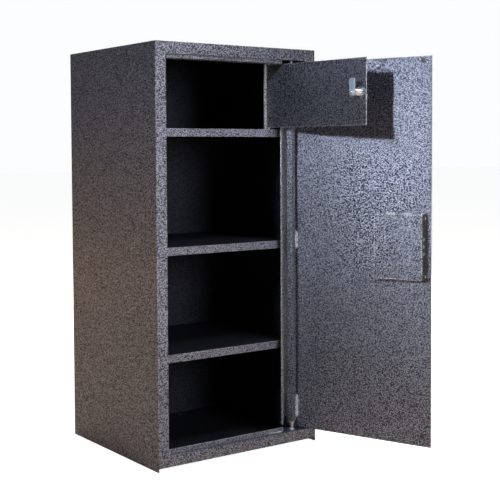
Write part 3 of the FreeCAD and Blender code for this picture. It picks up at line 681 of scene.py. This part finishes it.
def make_treasury_key_blade():
    """Flat blade with cuts along its upper edge, given as (distance, depth)."""
    low, high = extent("treasury_key_blade", TREASURY_DOOR)
    length = (high.y - low.y) / MM
    half = (high.z - low.z) / 2 / MM
    cuts = [
        (9.0, 0.0), (11.0, 1.4), (12.4, 1.4), (13.6, 0.5), (14.8, 2.1), (16.2, 2.1), (17.4, 0.8),
        (18.8, 1.7), (20.2, 1.7), (21.6, 0.6), (23.0, 1.2), (24.4, 0.8),
    ]
    upper = [(0.0, half)] + [(deep, half - cut) for deep, cut in cuts if deep < length - 2.5]
    upper += [(length - 1.8, half - 0.8), (length, 0.4)]
    lower = [(length, -0.4), (length - 1.6, -half), (0.0, -half)]
    outline = [(-rise, deep) for deep, rise in upper + lower]
    mesh = bmesh.new()
    plate(mesh, outline, Vector((low.x, low.y, (low.z + high.z) / 2)), "X", (high.x - low.x) / MM)
    placed("cut_treasury_key_blade", mesh, TREASURY_DOOR, "cam_lock", chrome,
           ["treasury_key_blade"])


def make_treasury_key_bow():
    """Moulded bow with a raised rim, a hole for the ring and a slot that holds the blade."""
    low, high = extent("treasury_key_bow", TREASURY_DOOR)
    bow = (high.z - low.z) / 2 / MM
    half = (high.x - low.x) / 2 / MM
    rim = [
        (bow, half - 0.9), (bow - 0.35, half - 0.3), (bow - 1.2, half), (bow - 2.2, half - 0.35),
        (4.6, half - 0.35), (3.4, half - 0.1), (3.0, half - 0.5),
    ]
    under = [(radius, -along) for radius, along in rim]
    mesh = bmesh.new()
    turned(mesh, (low + high) / 2, "X", under + rim[::-1] + under[:1], 56)
    bow_piece = placed("moulded_treasury_key_bow", mesh, TREASURY_DOOR, "cam_lock", plastic,
                       ["treasury_key_bow"])
    blade_low, blade_high = extent("treasury_key_blade", TREASURY_DOOR)
    carve(bow_piece, block(blade_low, blade_high, TREASURY_DOOR))


def make_split_ring():
    """Spring-steel ring of two flat turns lying side by side."""
    low, high = extent("key_ring", TREASURY_DOOR)
    centre = (low + high) / 2
    radius = (high.z - low.z) / 2 - 0.6 * MM
    half_wide = 0.54 * MM
    half_thick = 0.285 * MM
    drift = 0.62 * MM
    turns = 2
    steps = 96 * turns
    mesh = bmesh.new()
    rings = []
    for step in range(steps + 1):
        angle = 2 * math.pi * turns * step / steps
        out = Vector((math.sin(angle), 0, math.cos(angle)))
        shift = (step / steps - 0.5) * drift
        rings.append([
            mesh.verts.new(centre + out * (radius + wide * half_wide)
                           + Vector((0, shift + thick * half_thick, 0)))
            for wide, thick in circle(1.0, 8)
        ])
    skin(mesh, rings)
    placed("split_key_ring", mesh, TREASURY_DOOR, "ring", chrome, ["key_ring"])


# --- welds ----------------------------------------------------------------------------------------

BEAD_STEP = 0.9 * MM
BEAD_SIDES = 10


def weld_bead(name, runs, place, body, radius):
    """Weld metal along straight runs: lumpy ropes that thin out at both ends, radius in millimetres."""
    mesh = bmesh.new()
    for start, end in runs:
        start = Vector(start)
        end = Vector(end)
        along = (end - start).normalized()
        side = along.orthogonal().normalized()
        other = along.cross(side)
        count = max(4, int((end - start).length / BEAD_STEP))
        rings = []
        for step in range(count + 1):
            share = step / count
            point = start.lerp(end, share)
            taper = min(1.0, 3.5 * math.sin(math.pi * share) ** 0.6 + 0.15)
            lumps = 0.28 * noise.noise(point * 420)
            ripples = 0.14 * math.sin(point.length * 5200)
            reach = radius * MM * taper * (1 + lumps + ripples)
            rings.append([
                mesh.verts.new(point + (side * x + other * y) * reach)
                for x, y in circle(1.0, BEAD_SIDES)
            ])
        skin(mesh, rings)
    placed(name, mesh, place, body, weld)


def level_run(y, z, start, end):
    """Run across the safe from one x to another."""
    return (start, y, z), (end, y, z)


def upright_run(x, y, start, end):
    """Run up the safe from one z to another."""
    return (x, y, start), (x, y, end)


def make_cabinet_welds():
    stop_low, stop_high = extent("sill_stop")
    stop_front = stop_low.y - 0.2 * MM
    stop_foot = stop_low.z + 0.4 * MM
    weld_bead("sill_stop_welds", [
        level_run(stop_front, stop_foot, stop_high.x - 42 * MM, stop_high.x - 4 * MM),
        level_run(stop_front, stop_foot, stop_low.x + 2 * MM, stop_low.x + 12 * MM),
    ], CABINET, "cabinet", 1.5)
    pin_low, pin_high = extent("lower_pivot_pin")
    pin_left = pin_low.x - 1 * MM
    pin_foot = pin_low.z + 0.6 * MM
    weld_bead("pivot_pin_welds", [
        level_run(pin_low.y, pin_foot, pin_left, pin_high.x),
        ((pin_left, pin_low.y, pin_foot), (pin_left, pin_high.y, pin_foot)),
    ], CABINET, "cabinet", 1.4)
    post_low, post_high = extent("treasury_hinge_post")
    weld_bead("treasury_post_tacks", [
        upright_run(post_low.x, post_low.y + 0.4 * MM, level, level + 7 * MM)
        for level in (post_low.z + 66 * MM, post_low.z + 30 * MM, post_high.z - 20 * MM)
    ], CABINET, "cabinet", 1.2)


def make_door_welds():
    for name in ("low", "middle", "high"):
        low, high = extent(f"hinge_bar_packer_{name}", MAIN_DOOR)
        left = low.x - 0.2 * MM
        weld_bead(f"packer_{name}_welds", [
            upright_run(left, high.y - 0.8 * MM, low.z + 2 * MM, high.z - 2 * MM),
            upright_run(left, low.y + 0.8 * MM, low.z + 2 * MM, high.z - 2 * MM),
            level_run((low.y + high.y) / 2, high.z, low.x + 1 * MM, high.x - 1 * MM),
        ], MAIN_DOOR, "main_door", 1.7)
    box_low, box_high = extent("lock_housing", MAIN_DOOR)
    width = box_high.x - box_low.x
    weld_bead("lock_housing_welds", [
        level_run(box_low.y + 0.9 * MM, box_high.z + 0.6 * MM,
                  box_high.x - width * start, box_high.x - width * end)
        for start, end in ((0.15, 0.36), (0.52, 0.72), (0.9, 0.98))
    ], MAIN_DOOR, "main_door", 2.2)
    flange_low, flange_high = extent("hinge_side_flange", MAIN_DOOR)
    height = flange_high.z - flange_low.z
    levels = [flange_low.z + height * share for share in (0.17, 0.35, 0.5, 0.68, 0.84)]
    weld_bead("flange_tacks", [
        upright_run(flange_low.x, flange_low.y + 0.8 * MM, level, level + 9 * MM) for level in levels
    ], MAIN_DOOR, "main_door", 1.3)


make_bolts()
make_forend_screws()
make_pads()
make_rivets()
make_main_key()
make_barrel()
make_nut()
make_plug()
make_cam()
make_cam_screw()
make_treasury_key_blade()
make_treasury_key_bow()
make_split_ring()
make_cabinet_welds()
make_door_welds()


# --- floor, light and camera ----------------------------------------------------------------------

def make_floor():
    """Floor that the camera sees as an even near-white, and that throws warm light on the part."""
    mesh = bmesh.new()
    bmesh.ops.create_grid(mesh, x_segments=1, y_segments=1, size=30.0)
    data = bpy.data.meshes.new("floor")
    mesh.to_mesh(data)
    mesh.free()
    floor = bpy.data.objects.new("floor", data)
    bpy.context.scene.collection.objects.link(floor)
    pale = Shader("pale_floor", Roughness=0.9)
    grain = pale.noise(40.0, 3.0)
    pale.set("Base Color", pale.mix(grain, (0.84, 0.66, 0.48, 1.0), (0.87, 0.69, 0.51, 1.0)))
    seen = pale.node("ShaderNodeLightPath").outputs["Is Camera Ray"]
    pale.main.inputs["Emission Color"].default_value = (0.98, 0.99, 1.0, 1.0)
    pale.set("Emission Strength", pale.math("MULTIPLY", seen, 0.95))
    data.materials.append(pale.material)


def area_light(name, place, target, size, power, shade, spread=180):
    """Rectangular lamp that looks from place to target; metres, watts and degrees."""
    light = bpy.data.lights.new(name, "AREA")
    light.shape = "RECTANGLE"
    light.size, light.size_y = size
    light.energy = power
    light.color = shade
    light.spread = math.radians(spread)
    lamp = bpy.data.objects.new(name, light)
    lamp.location = place
    lamp.rotation_euler = (Vector(target) - Vector(place)).to_track_quat("-Z", "Y").to_euler()
    bpy.context.scene.collection.objects.link(lamp)


def make_lights():
    area_light("key", (-2.7, -1.1, 1.65), (0.27, -0.41, 0.8), (0.25, 0.25), 2.4, (0.87, 0.93, 1.0),
               spread=40)
    area_light("front", (0.2, -3.0, 1.1), (0.0, -0.2, 0.6), (0.9, 0.9), 29.0, (1.0, 0.98, 0.97))
    area_light("right", (3.0, 1.6, 1.6), (0.2, 0.0, 0.5), (1.8, 1.4), 26.0, (1.0, 1.0, 1.0))
    area_light("rear", (0.9, 3.2, 1.7), (0.0, 0.2, 0.5), (1.8, 1.4), 24.0, (1.0, 1.0, 1.0))
    area_light("side", (-2.6, 2.7, 1.1), (-0.2, 0.0, 0.5), (2.4, 1.6), 3.0, (0.97, 0.95, 1.0))
    area_light("glow", (-1.5, 2.3, 0.15), (-0.22, 0.0, 0.2), (1.4, 0.3), 1.5, (1.0, 0.55, 0.2))
    area_light("overhead", (0.0, 0.0, 6.0), (0.0, 0.0, 0.0), (9.0, 9.0), 75.0, (1.0, 0.98, 0.95))
    area_light("strip", (0.2, -1.5, 2.7), (0.15, -0.4, 0.5), (1.2, 0.4), 20.0, (0.95, 0.97, 1.0))


def make_world():
    """Surroundings that look bright to the camera and give the part only a little light."""
    world = bpy.data.worlds.new("studio")
    bpy.context.scene.world = world
    world.use_nodes = True
    tree = world.node_tree
    background = tree.nodes["Background"]
    background.inputs["Color"].default_value = (0.97, 0.98, 1.0, 1.0)
    ray = tree.nodes.new("ShaderNodeLightPath")
    strength = tree.nodes.new("ShaderNodeMix")
    seen_by_part = 0.025
    seen_by_camera = 1.0
    strength.inputs[2].default_value = seen_by_part
    strength.inputs[3].default_value = seen_by_camera
    tree.links.new(ray.outputs["Is Camera Ray"], strength.inputs[0])
    tree.links.new(strength.outputs[0], background.inputs["Strength"])


def make_camera():
    """Camera in front and to the left of the cabinet, at three quarters of its height."""
    camera = bpy.data.cameras.new("camera")
    camera.sensor_width = 36.0
    camera.lens = 76.54
    camera.shift_y = -0.1
    camera.clip_start = 0.05
    viewer = bpy.data.objects.new("camera", camera)
    bpy.context.scene.collection.objects.link(viewer)
    corner = extent("body_wrap")[0]
    to_left = 1.1738
    in_front = 1.9756
    eye_height = 0.7043
    viewer.location = Vector((corner.x - to_left, corner.y - in_front, eye_height))
    heading = math.radians(35.7586)
    dip = math.radians(2.7002)
    roll = math.radians(0.2745)
    turn = Matrix.Rotation(-heading, 4, "Z") @ Matrix.Rotation(math.pi / 2 - dip, 4, "X")
    viewer.rotation_euler = (turn @ Matrix.Rotation(-roll, 4, "Z")).to_euler()
    bpy.context.scene.camera = viewer


make_floor()
make_lights()
make_world()
make_camera()
bpy.context.scene.view_settings.view_transform = "Standard"
